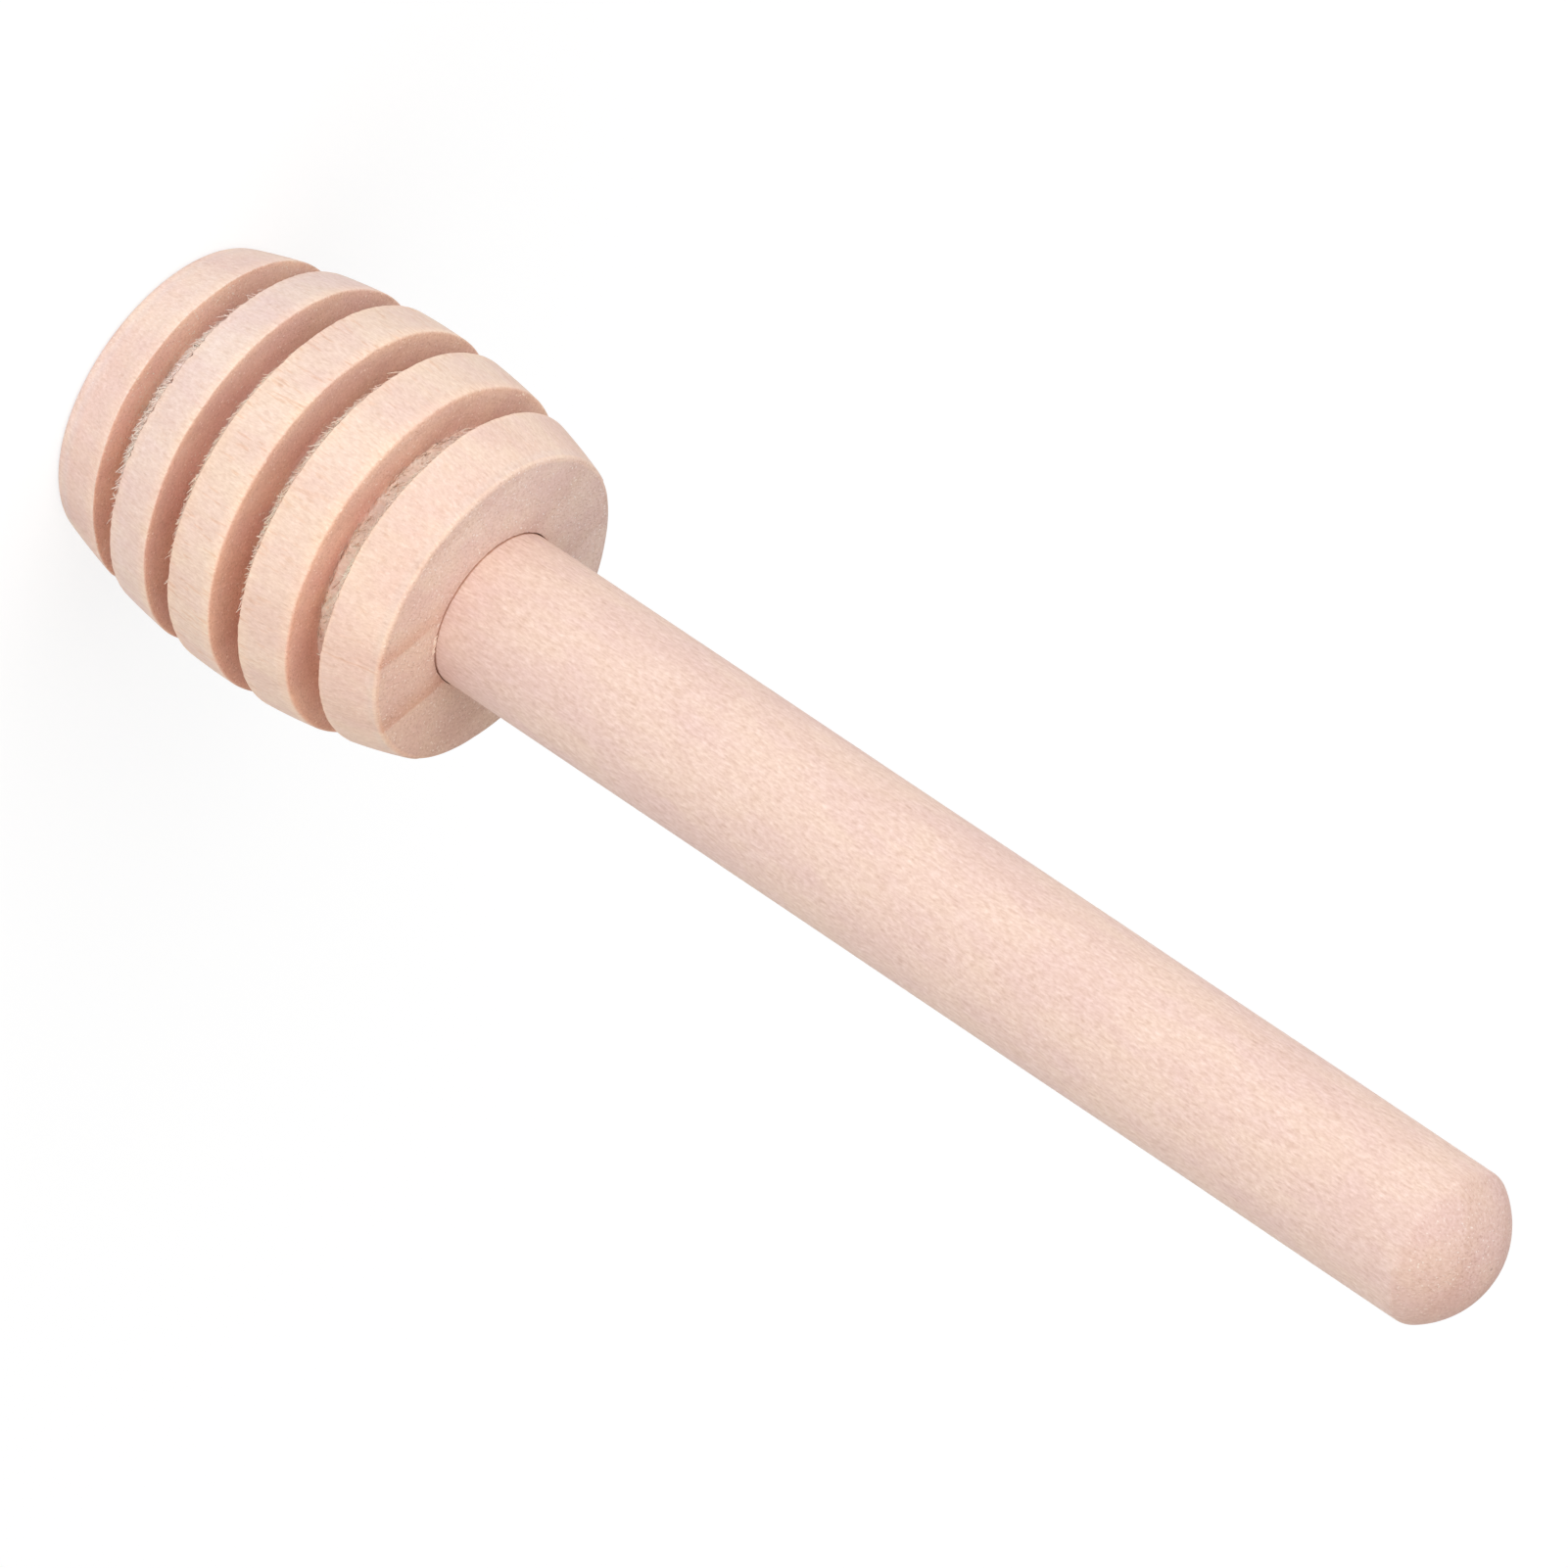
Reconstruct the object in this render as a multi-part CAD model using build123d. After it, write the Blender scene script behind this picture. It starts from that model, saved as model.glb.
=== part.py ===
from build123d import *
import math
import os

# A small honey dipper: a turned and grooved beech head with a dowel glued into its upper end.
# Millimetres, +Z up. The dipper stands on the flat tip of its head, as it does in a honey jar.
# The origin is the middle of that tip face, and +Z runs along the axis of every piece to the handle's end.

# Head, ring by ring from the tip up
HEAD_DIAMETER = 19.2
BELLY_HEIGHT_SHARE = 0.53
TIP_DROP = 1.95
FACE_DROP = 1.6
TIP_RING_HEIGHT = 2.99
SECOND_RING_HEIGHT = 2.45
MIDDLE_RING_HEIGHT = 2.7
FOURTH_RING_HEIGHT = 2.77
FACE_RING_HEIGHT = 2.87
GROOVE_HEIGHT = 1.72
LOWEST_GROOVE_INFEED = 3.2
HIGHEST_GROOVE_INFEED = 2.6
RING_ARRIS = 0.15
TIP_ARRIS = 0.45

# Socket in the head's upper face, and the glue in it
SOCKET_DEPTH = 13.2
DOWEL_CLEARANCE = 0.08
SOCKET_FLOOR_GAP = 0.4
GLUE_SETBACK = 1.0

# Handle
DOWEL_DIAMETER = 8.0
HANDLE_REACH = 61.21
DOME_HEIGHT = 2.35
DOME_ARRIS = 0.8
TAPER_START = 0.3
TAPER_LOSS = 0.12
DOWEL_CHAMFER = 0.5

# One overrun past the wood for all cuts
CUT_OVERRUN = 1.0

head_radius = HEAD_DIAMETER / 2
dowel_radius = DOWEL_DIAMETER / 2
tenon_radius = dowel_radius - TAPER_LOSS
socket_radius = dowel_radius + DOWEL_CLEARANCE


def ring_spans():
    """Bottom and top of each ring, from the tip ring up to the face ring."""
    heights = (TIP_RING_HEIGHT, SECOND_RING_HEIGHT, MIDDLE_RING_HEIGHT, FOURTH_RING_HEIGHT, FACE_RING_HEIGHT)
    spans = []
    bottom = 0
    for height in heights:
        spans.append((bottom, bottom + height))
        bottom += height + GROOVE_HEIGHT
    return spans


rings = ring_spans()
head_top = rings[-1][1]
belly_height = head_top * BELLY_HEIGHT_SHARE
socket_floor = head_top - SOCKET_DEPTH
dowel_bottom = socket_floor + SOCKET_FLOOR_GAP
dowel_top = head_top + HANDLE_REACH
dome_bottom = dowel_top - DOME_HEIGHT


def bow_radius(reach, drop):
    """Radius of the arc that leaves its start square to the drop and falls by drop over reach."""
    return (reach**2 + drop**2) / (2 * drop)


def crest_radius(height):
    """Radius of the barrel's skin at a height: one arc below the belly and one above it."""
    if height < belly_height:
        bow = bow_radius(belly_height, TIP_DROP)
    else:
        bow = bow_radius(head_top - belly_height, FACE_DROP)
    return head_radius - bow + math.sqrt(bow**2 - (height - belly_height) ** 2)


def crest_arc(start, end):
    """Stretch of the barrel's outline between two heights on one side of the belly."""
    middle = (start + end) / 2
    points = [(crest_radius(height), height) for height in (start, middle, end)]
    return ThreePointArc(*points)


def corner_at(section, radius, height):
    """The corner of a half section nearest to one point."""
    return section.vertices().sort_by_distance(Vector(radius, height))[0]


def turned(section):
    """A half section, drawn as radius and height, turned once round the upright axis."""
    return revolve(Plane.XZ * section, Axis.Z)


def groove_sections():
    """Outlines of the grooves, open outwards. Their infeed from the belly eases from the tip up."""
    gaps = [(lower[1], upper[0]) for lower, upper in zip(rings, rings[1:])]
    infeed_step = (HIGHEST_GROOVE_INFEED - LOWEST_GROOVE_INFEED) / (len(gaps) - 1)
    sections = []
    for index, (bottom, top) in enumerate(gaps):
        infeed = LOWEST_GROOVE_INFEED + index * infeed_step
        middle = Pos(head_radius + (CUT_OVERRUN - infeed) / 2, (bottom + top) / 2)
        sections.append(middle * Rectangle(infeed + CUT_OVERRUN, top - bottom))
    return sections


def head_section():
    """Half section of the head: barrel outline, blind socket, grooves, and softened arrises."""
    outline = [
        crest_arc(0, belly_height),
        crest_arc(belly_height, head_top),
        Polyline(
            (crest_radius(head_top), head_top),
            (socket_radius, head_top),
            (socket_radius, socket_floor),
            (0, socket_floor),
            (0, 0),
            (crest_radius(0), 0),
        ),
    ]
    section = make_face(outline)
    for groove in groove_sections():
        section -= groove
    for bottom, top in rings:
        section = chamfer(corner_at(section, crest_radius(top), top), RING_ARRIS)
    return fillet(corner_at(section, crest_radius(0), 0), TIP_ARRIS)


def dipper_head():
    """The turned head in one piece of wood: five rings on a core, and the socket in the core."""
    return turned(head_section())


def handle():
    """The dowel: a tapered, chamfered end in the socket, and a domed end with a soft arris."""
    dome_radius = bow_radius(dowel_radius, DOME_HEIGHT)
    half_angle = math.asin(dowel_radius / dome_radius) / 2
    dome_centre = dowel_top - dome_radius
    dome_middle = (dome_radius * math.sin(half_angle), dome_centre + dome_radius * math.cos(half_angle))
    outline = [
        Polyline(
            (0, dowel_top),
            (0, dowel_bottom),
            (tenon_radius - DOWEL_CHAMFER, dowel_bottom),
            (tenon_radius, dowel_bottom + DOWEL_CHAMFER),
            (dowel_radius, head_top + TAPER_START),
            (dowel_radius, dome_bottom),
        ),
        ThreePointArc((dowel_radius, dome_bottom), dome_middle, (0, dowel_top)),
    ]
    section = make_face(outline)
    return turned(fillet(corner_at(section, dowel_radius, dome_bottom), DOME_ARRIS))


def dowel_skin_radius(height):
    """Radius of the dowel's taper at a height inside the socket."""
    taper_bottom = dowel_bottom + DOWEL_CHAMFER
    taper_top = head_top + TAPER_START
    return tenon_radius + TAPER_LOSS * (height - taper_bottom) / (taper_top - taper_bottom)


def glue_film():
    """The dried glue: a sleeve round the dowel, short of the mouth, and a pad under the dowel."""
    glue_top = head_top - GLUE_SETBACK
    outline = Polyline(
        (dowel_skin_radius(glue_top), glue_top),
        (socket_radius, glue_top),
        (socket_radius, socket_floor),
        (0, socket_floor),
        (0, dowel_bottom),
        (tenon_radius - DOWEL_CHAMFER, dowel_bottom),
        (tenon_radius, dowel_bottom + DOWEL_CHAMFER),
        close=True,
    )
    return turned(make_face(outline))


os.makedirs("parts", exist_ok=True)
for piece in (dipper_head, handle, glue_film):
    export_step(piece(), "parts/" + piece.__name__ + ".step")
print("head top", head_top, "dome bottom", dome_bottom, "dowel top", dowel_top)
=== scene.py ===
import math

import bpy
import numpy as np
from mathutils import Matrix


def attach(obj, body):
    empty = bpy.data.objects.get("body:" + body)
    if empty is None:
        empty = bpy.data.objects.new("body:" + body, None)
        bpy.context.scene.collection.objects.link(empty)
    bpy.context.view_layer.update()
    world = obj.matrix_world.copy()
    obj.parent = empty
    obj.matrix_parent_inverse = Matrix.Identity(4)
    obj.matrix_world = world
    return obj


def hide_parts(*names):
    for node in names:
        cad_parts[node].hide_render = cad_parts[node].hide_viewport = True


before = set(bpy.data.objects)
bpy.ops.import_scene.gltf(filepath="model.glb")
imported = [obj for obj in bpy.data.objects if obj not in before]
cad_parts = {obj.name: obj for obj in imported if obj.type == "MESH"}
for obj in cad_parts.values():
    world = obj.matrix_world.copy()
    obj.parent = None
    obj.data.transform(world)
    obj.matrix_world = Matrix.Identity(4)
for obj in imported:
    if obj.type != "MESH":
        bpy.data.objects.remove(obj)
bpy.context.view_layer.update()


# The head: one block of beech turned to a barrel, with four square grooves plunged in from the side and a
# socket bored into its upper face. The crests and the face are sanded; the groove walls are clean end
# grain straight off the cutter, and the groove floors are torn long grain.

MM = 0.001
HEAD_RADIUS = 9.6
BELLY_HEIGHT = 10.95
TIP_DROP = 1.95
FACE_DROP = 1.6
RING_HEIGHTS = (2.99, 2.45, 2.70, 2.77, 2.87)
GROOVE_HEIGHT = 1.72
GROOVE_FLOORS = (6.4, 6.6, 6.8, 7.0)
SOCKET_RADIUS = 4.08
SOCKET_DEPTH = 13.2
TIP_ARRIS = 0.45
UPPER_ARRIS = 0.13
LOWER_ARRIS = 0.05
MOUTH_ARRIS = 0.04
TOOL_CORNER = 0.02
# Where rows of the mesh lie on the flat faces: next to the axis, inside the rim, and halfway to the socket
AXIS_RADIUS = 0.01
RIM_STEPS = (0.25, 0.4, 0.6)
FACE_MIDDLE_RADIUS = 5.8
FLOOR_ROWS = 18
CREST_POINTS = 5
FACE_RING_POINTS = 14
HEAD_COLUMNS = 448

ring_bottoms = np.cumsum((0,) + RING_HEIGHTS[:-1]) + GROOVE_HEIGHT * np.arange(len(RING_HEIGHTS))
ring_tops = ring_bottoms + np.array(RING_HEIGHTS)
head_top = float(ring_tops[-1])
socket_floor = head_top - SOCKET_DEPTH


def bow(reach, drop):
    """Radius of the arc that starts square to the drop and falls by drop over reach."""
    return (reach**2 + drop**2) / (2 * drop)


def crest(height):
    """Barrel radius at a height: below and above the belly one arc each, by Pythagoras on its radius."""
    below = bow(BELLY_HEIGHT, TIP_DROP)
    above = bow(head_top - BELLY_HEIGHT, FACE_DROP)
    radius = np.where(np.asarray(height) < BELLY_HEIGHT, below, above)
    return HEAD_RADIUS - radius + np.sqrt(radius**2 - (np.asarray(height) - BELLY_HEIGHT) ** 2)


def stations(corners):
    """Points of a half section, and which of them lie on an eased corner and on a torn run.

    Each corner is (radius, height, easing, rows on the corner, rows on the run after it, torn). A corner
    is a quadratic curve, (1-u)^2 A + 2u(1-u) C + u^2 B, from easing before it to easing after it.
    A run is divided evenly.
    """
    places = np.array([corner[:2] for corner in corners], float)
    legs = np.diff(places, axis=0)
    ways = legs / np.linalg.norm(legs, axis=1)[:, None]
    points, arris, torn = [], [], []
    for index, (_, _, easing, corner_rows, run_rows, is_torn) in enumerate(corners):
        inner = 0 < index < len(corners) - 1
        before = places[index] - easing * ways[index - 1] if inner else places[index]
        after = places[index] + easing * ways[index] if inner else places[index]
        u = np.linspace(0, 1, corner_rows)[:, None] if corner_rows > 1 else np.array([[0.5]])
        curve = (1 - u) ** 2 * before + 2 * u * (1 - u) * places[index] + u**2 * after
        points.append(curve)
        arris.append(np.full(len(curve), float(easing > 0)))
        torn.append(np.zeros(len(curve)))
        if index < len(corners) - 1:
            easing_ahead = corners[index + 1][2] if index < len(corners) - 2 else 0
            far = places[index + 1] - easing_ahead * ways[index]
            steps = np.linspace(0, 1, run_rows + 2)[1:-1, None]
            points.append(after + steps * (far - after))
            arris.append(np.zeros(run_rows))
            torn.append(np.full(run_rows, float(is_torn)))
    return np.concatenate(points), np.concatenate(arris), np.concatenate(torn)


def drift(shape, rows, columns, seed):
    """Smooth random field of unit spread: white noise times exp(-2 (pi f w)^2) in its spectrum, where w is
    the blur in rows and in columns. It closes on itself round the piece."""
    white = np.random.default_rng(seed).standard_normal(shape)
    up = np.fft.fftfreq(shape[0])[:, None]
    across = np.fft.rfftfreq(shape[1])[None, :]
    keep = np.exp(-2 * math.pi**2 * ((up * rows) ** 2 + (across * columns) ** 2))
    field = np.fft.irfft2(np.fft.rfft2(white) * keep, s=shape)
    return field / field.std()


def drift_round(columns, seed):
    """One row of a drift round the head, which hardly changes from row to row."""
    return drift((3, HEAD_COLUMNS), 9, columns, seed)[:1]


def new_piece(name, points, faces, masks):
    """A smoothly shaded piece from points in millimetres, with its masks as point attributes."""
    mesh = bpy.data.meshes.new(name)
    mesh.from_pydata((points * MM).tolist(), [], faces)
    for label, values in masks.items():
        mesh.attributes.new(label, "FLOAT", "POINT").data.foreach_set("value", values.astype(np.float32))
    mesh.shade_smooth()
    piece = bpy.data.objects.new(name, mesh)
    bpy.context.scene.collection.objects.link(piece)
    return piece


def turned(name, radii, heights, masks):
    """Mesh of a turned piece: x = r cos a, y = r sin a, z = height on a grid of rows and even angles a,
    with one point on the axis at each end of the section. Masks are given by row and angle."""
    rows, columns = radii.shape
    angles = np.arange(columns) / columns * 2 * math.pi
    x = radii * np.cos(angles)
    y = radii * np.sin(angles)
    wall = np.stack([x, y, heights], axis=2).reshape(-1, 3)
    ends = np.array([[0, 0, heights[0].mean()], [0, 0, heights[-1].mean()]])
    ring = np.arange(columns)
    ahead = (ring + 1) % columns
    low = (np.arange(rows - 1) * columns)[:, None]
    quads = np.stack([low + ring, low + ahead, low + columns + ahead, low + columns + ring], axis=2)
    first, last = rows * columns, rows * columns + 1
    top = (rows - 1) * columns
    opening = np.stack([np.full(columns, first), ahead, ring], axis=1)
    closing = np.stack([top + ring, top + ahead, np.full(columns, last)], axis=1)
    faces = quads.reshape(-1, 4).tolist() + opening.tolist() + closing.tolist()
    at_points = {}
    for label, share in masks.items():
        full = np.broadcast_to(share, radii.shape)
        at_points[label] = np.concatenate([full.reshape(-1), full[0, :1], full[-1, :1]])
    return new_piece(name, np.concatenate([wall, ends]), faces, at_points)


def end_grain_share(points):
    """How far a section's surface lies across the grain: the radial part of its unit tangent."""
    tangent = np.gradient(points, axis=0)
    return np.abs(tangent[:, 0]) / np.linalg.norm(tangent, axis=1)


def head_corners():
    """The half section from the middle of the tip, up over rings and grooves, and down the socket."""
    corners = [(AXIS_RADIUS, 0, 0, 1, 4, 0)]
    for index, (bottom, top) in enumerate(zip(ring_bottoms, ring_tops)):
        is_face_ring = index == len(RING_HEIGHTS) - 1
        if index == 0:
            corners.append((float(crest(bottom)), bottom, TIP_ARRIS, 8, 0, 0))
        else:
            floor = GROOVE_FLOORS[index - 1]
            corners.append((floor, ring_tops[index - 1], TOOL_CORNER, 2, FLOOR_ROWS, 1))
            corners.append((floor, bottom, TOOL_CORNER, 2, 3, 0))
            corners.append((float(crest(bottom)), bottom, LOWER_ARRIS, 3, 0, 0))
        for height in np.linspace(bottom, top, FACE_RING_POINTS if is_face_ring else CREST_POINTS)[1:-1]:
            corners.append((float(crest(height)), float(height), 0, 1, 0, 0))
        corners.append((float(crest(top)), top, UPPER_ARRIS, 6, 0 if is_face_ring else 5, 0))
    for inward in RIM_STEPS:
        corners.append((float(crest(head_top)) - inward, head_top, 0, 1, 0, 0))
    corners.append((FACE_MIDDLE_RADIUS, head_top, 0, 1, 1, 0))
    corners.append((SOCKET_RADIUS, head_top, MOUTH_ARRIS, 3, 3, 0))
    corners.append((SOCKET_RADIUS, socket_floor, TOOL_CORNER, 2, 1, 0))
    corners.append((AXIS_RADIUS, socket_floor, 0, 1, 0, 0))
    return corners


head_section, on_arris, on_floor = stations(head_corners())
head_grid = (len(head_section), HEAD_COLUMNS)
degrees_round = np.degrees(np.arange(HEAD_COLUMNS) / HEAD_COLUMNS * 2 * math.pi)
radii = np.repeat(head_section[:, :1], HEAD_COLUMNS, axis=1)
heights = np.repeat(head_section[:, 1:], HEAD_COLUMNS, axis=1)


def arc_mask(middle, half_width, soft):
    """1 inside an arc of the turn, in degrees, falling to 0 over soft degrees outside it."""
    away = np.abs((degrees_round - middle + 180) % 360 - 180)
    return np.clip((half_width + soft - away) / soft, 0, 1)


# The face's rim was sanded rounder on the far side. An arc is its middle, half width and soft end in degrees.
FAR_RIM_ROUND = 0.6
LEAST_RIM_ROUND = 0.001
FAR_RIM_ARC = (90, 45, 45)


def rounded_rim(radii, heights, rounding):
    """The face's rim on a circle of a radius that changes round the head: each point outside the circle
    and beyond its centre is drawn in, p = c + R (p - c) / |p - c|."""
    middle_radius = crest(head_top) - rounding
    middle_height = head_top - rounding
    out = radii - middle_radius
    over = heights - middle_height
    span = np.hypot(out, over)
    beyond = (out > 0) & (over > 0) & (span > rounding)
    draw = rounding / np.maximum(span, 1e-9)
    return (
        np.where(beyond, middle_radius + out * draw, radii),
        np.where(beyond, middle_height + over * draw, heights),
    )


radii, heights = rounded_rim(radii, heights, FAR_RIM_ROUND * arc_mask(*FAR_RIM_ARC) + LEAST_RIM_ROUND)

# The two rings nearest the tip came off thin on one side: which ring, and its loss at the upper edge
THINNED_RINGS = ((0, 0.30), (1, 0.14))
THINNED_ARC = (-40, 15, 25)
SKIN_DEPTH = 0.35
SLACK = 0.001

skin = radii > crest(np.clip(heights, 0, head_top)) - SKIN_DEPTH
for ring, loss in THINNED_RINGS:
    up_ring = (heights - ring_bottoms[ring]) / RING_HEIGHTS[ring]
    on_ring = skin & (up_ring > -SLACK) & (up_ring < 1 + SLACK)
    radii = radii - on_ring * loss * np.clip(up_ring, 0, 1) * arc_mask(*THINNED_ARC)

# The lower edge of each ring is a little ragged where the cutter left it, most of all on the second ring
EDGE_RAGGED = 0.02
WORST_RAGGED = 0.045
WORST_RING = 1
WORST_ARC = (-88, 30, 12)
RAGGED_HEIGHT = 0.5

for ring in range(1, len(RING_HEIGHTS)):
    above_edge = heights - ring_bottoms[ring]
    near_edge = skin & (above_edge > -SLACK)
    ragged = EDGE_RAGGED + (WORST_RAGGED * arc_mask(*WORST_ARC) if ring == WORST_RING else 0)
    nicks = np.abs(drift_round(0.8, seed=60 + ring))
    heights = heights + near_edge * np.clip(1 - above_edge / RAGGED_HEIGHT, 0, 1) * ragged * nicks

# The bored mouth wavers, so that the gap round the dowel is wide in some places and nearly shut in others
MOUTH_REACH = 0.06
MOUTH_DEPTH = 1.5
LEAST_NARROWING = 0.02
MOUTH_WAVER = 0.03

mouth = (radii < SOCKET_RADIUS + MOUTH_REACH) & (heights > head_top - MOUTH_DEPTH)
waver = np.clip(0.5 + 0.35 * drift_round(5, seed=70) + 0.2 * drift_round(1, seed=71), 0, 1)
radii = radii - mouth * (LEAST_NARROWING + MOUTH_WAVER * waver)

# The turned skin has a low waviness, in height only between the tip's arris and the rim
WAVINESS = 0.012
OUTSIDE_RADIUS = 5.5
WAVY_FROM = 1
WAVY_BELOW_FACE = 0.3

outside = (head_section[:, 0] > OUTSIDE_RADIUS)[:, None]
above_tip = (head_section[:, 1] > WAVY_FROM)[:, None]
below_face = (head_section[:, 1] < head_top - WAVY_BELOW_FACE)[:, None]
wavy = outside & above_tip & below_face
radii = radii - outside * WAVINESS * np.abs(drift(head_grid, rows=8, columns=9, seed=3))
heights = heights + wavy * WAVINESS * drift(head_grid, rows=5, columns=7, seed=4)

# Where each groove's floor tore most, as middle and half width in degrees round the head
TORN_ARCS = (
    ((-94, 36), (95, 30), (20, 14)),
    ((-88, 32), (60, 24), (160, 18)),
    ((-92, 42), (120, 26), (30, 20)),
    ((-96, 46), (80, 28), (178, 16)),
)
TORN_SOFT = 14
# How far torn wood stands above each floor, and over which height it rises from the walls
FLOOR_RISES = (0.55, 0.42, 0.55, 0.52)
RISE_SLOPE = 0.32
# Relief of the leaning strands and of shallow scoops, and how rough and how pale a floor is
STRAND_RELIEF = 0.08
STRAND_MIDDLE = 0.4
STRAND_LEAN = 2
SCOOP_RELIEF = 0.012
RELIEF_FADE_ROWS = 2.0
UNTORN_ROUGH = 0.35
TORN_PALE = 0.65


def torn_share(groove):
    """How badly a groove's floor tore at each angle, from 0 to 1."""
    return np.max([arc_mask(middle, half, TORN_SOFT) for middle, half in TORN_ARCS[groove]], axis=0)


tear = np.zeros(head_grid)
for groove, floor_rise in enumerate(FLOOR_RISES):
    in_groove = (head_section[:, 1] > ring_tops[groove]) & (head_section[:, 1] < ring_bottoms[groove + 1])
    rows = np.flatnonzero((on_floor > 0) & in_groove)
    row = np.arange(len(rows))[:, None]
    floor_grid = (len(rows), HEAD_COLUMNS)
    arcs = torn_share(groove)
    rough = UNTORN_ROUGH + (1 - UNTORN_ROUGH) * arcs
    leaning = (np.arange(HEAD_COLUMNS) + STRAND_LEAN * row) % HEAD_COLUMNS
    strands = np.abs(drift(floor_grid, rows=3.2, columns=0.8, seed=20 + groove))[row, leaning]
    scoops = drift(floor_grid, rows=4, columns=4, seed=40 + groove)
    from_wall = np.minimum(row, row[::-1])
    held = np.clip(from_wall / RELIEF_FADE_ROWS, 0, 1)
    slope = np.clip(from_wall * (GROOVE_HEIGHT / len(rows)) / RISE_SLOPE, 0, 1)
    lumps = np.clip(0.95 + 0.06 * drift(floor_grid, rows=3, columns=4, seed=80 + groove), 0.3, 1.3)
    rise = slope * floor_rise * arcs * lumps
    relief = held * rough * (STRAND_RELIEF * (strands - STRAND_MIDDLE) + SCOOP_RELIEF * scoops)
    radii[rows] += rise + relief
    tear[rows] = TORN_PALE * rough

# Only the arrises outside this radius are paler, with wear and a painted highlight, not the socket's
PALE_ARRIS_RADIUS = 7.3

head = turned(
    "dipper_head_turned",
    radii,
    heights,
    {
        "end_grain": end_grain_share(head_section)[:, None],
        "arris": on_arris[:, None] * (head_section[:, 0] > PALE_ARRIS_RADIUS)[:, None],
        "torn": tear,
    },
)


def join(tree, kind, *wires, **settings):
    """Adds a node of a kind with its settings, and wires or sets its inputs as (name, source) pairs."""
    node = tree.nodes.new(kind)
    for name, value in settings.items():
        setattr(node, name, value)
    for name, source in wires:
        socket = node.inputs[name]
        if isinstance(source, bpy.types.NodeSocket):
            tree.links.new(source, socket)
        else:
            socket.default_value = source
    return node.outputs[0]


def sums(tree, operation, first, second=0.0):
    """One step of arithmetic on two values."""
    return join(tree, "ShaderNodeMath", (0, first), (1, second), operation=operation)


def measure(tree, operation, first, second=(0.0, 0.0, 0.0)):
    """One number from one or two vectors, such as a length, a distance or a dot product."""
    node = join(tree, "ShaderNodeVectorMath", (0, first), (1, second), operation=operation).node
    return node.outputs["Value"]


def ramp(tree, value, low, high, start=0.0, end=1.0):
    """A value between low and high, smoothly carried to start and end."""
    return join(
        tree, "ShaderNodeMapRange", ("Value", value), ("From Min", low), ("From Max", high),
        ("To Min", start), ("To Max", end), interpolation_type="SMOOTHSTEP",
    )


def fall(tree, value, low, high):
    """1 below low, smoothly down to 0 above high."""
    return ramp(tree, value, low, high, 1.0, 0.0)


def blend_colour(tree, share, first, second, way="MIX"):
    """Two colours mixed by a share."""
    return join(
        tree, "ShaderNodeMix", (0, share), (6, first), (7, second), data_type="RGBA", blend_type=way
    ).node.outputs[2]


def tinted(tree, colour, tint, share=1.0):
    """A colour multiplied by a tint."""
    return blend_colour(tree, share, colour, tint, "MULTIPLY")


def scaled(tree, vector, factors):
    """A place stretched along x, y and z."""
    return join(tree, "ShaderNodeVectorMath", (0, vector), (1, factors), operation="MULTIPLY")


def noise(tree, vector, factors, detail=2.0, roughness=0.5):
    """Soft random value about 0.5 at a place that is stretched by factors per millimetre."""
    return join(
        tree, "ShaderNodeTexNoise", ("Vector", scaled(tree, vector, factors)), ("Scale", 1.0),
        ("Detail", detail), ("Roughness", roughness),
    )


def cells(tree, vector, factors):
    """Distance and colour of the nearest of scattered points, at a place stretched by factors."""
    stretched = scaled(tree, vector, factors)
    return join(tree, "ShaderNodeTexVoronoi", ("Vector", stretched), ("Scale", 1.0)).node.outputs


def swing(tree, value, strength):
    """A random value's swing about its middle, times a strength."""
    return sums(tree, "MULTIPLY", sums(tree, "SUBTRACT", value, 0.5), strength)


def late_wood(tree, year, start, end):
    """Depth of the darker wood over one year's growth: it builds up from start to end, then stops short."""
    return sums(tree, "MULTIPLY", ramp(tree, year, start, end), fall(tree, year, end, 1.0))


# Stretch per millimetre of each part of the beech figure, across the grain in x and y and along it in z
RING_SWAY_STRETCH = (0.16, 0.16, 0.035)
FIBRE_STRETCH = (9.0, 9.0, 1.7)
HAIR_STRETCH = (21.0, 21.0, 5.0)
PATCH_STRETCH = (0.42, 0.42, 0.17)
SPECK_STRETCH = (6.8, 6.8, 2.9)
BLOTCH_STRETCH = (1.3, 1.3, 0.7)
FLECK_STRETCH = (3.4, 3.4, 1.1)
PORE_STRETCH = (7.0, 7.0, 1.2)
CHIP_STRETCH = (9.0, 9.0, 9.0)
# How much each part lightens or darkens the wood, and how much faster than red the green and blue go down
RING_SWAY = 1.2
HAIR_LIGHT = 0.22
LATE_WOOD_DARK = 0.02
LATE_WOOD_DARKER_ON_ENDS = 0.025
FLECK_DARK = 0.07
PORE_DARK = 0.08
GREEN_FALL = 1.45
BLUE_FALL = 1.8
CHIP_COLOUR = (1.0, 0.90, 0.82, 1)
BLOTCH_TINTS = ((1.0, 1.0, 0.98, 1), (0.998, 0.99, 0.99, 1))
SANDED_ROUGH = 0.48
FIBRE_ROUGH = 0.2
END_GRAIN_ROUGH = 0.18


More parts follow.
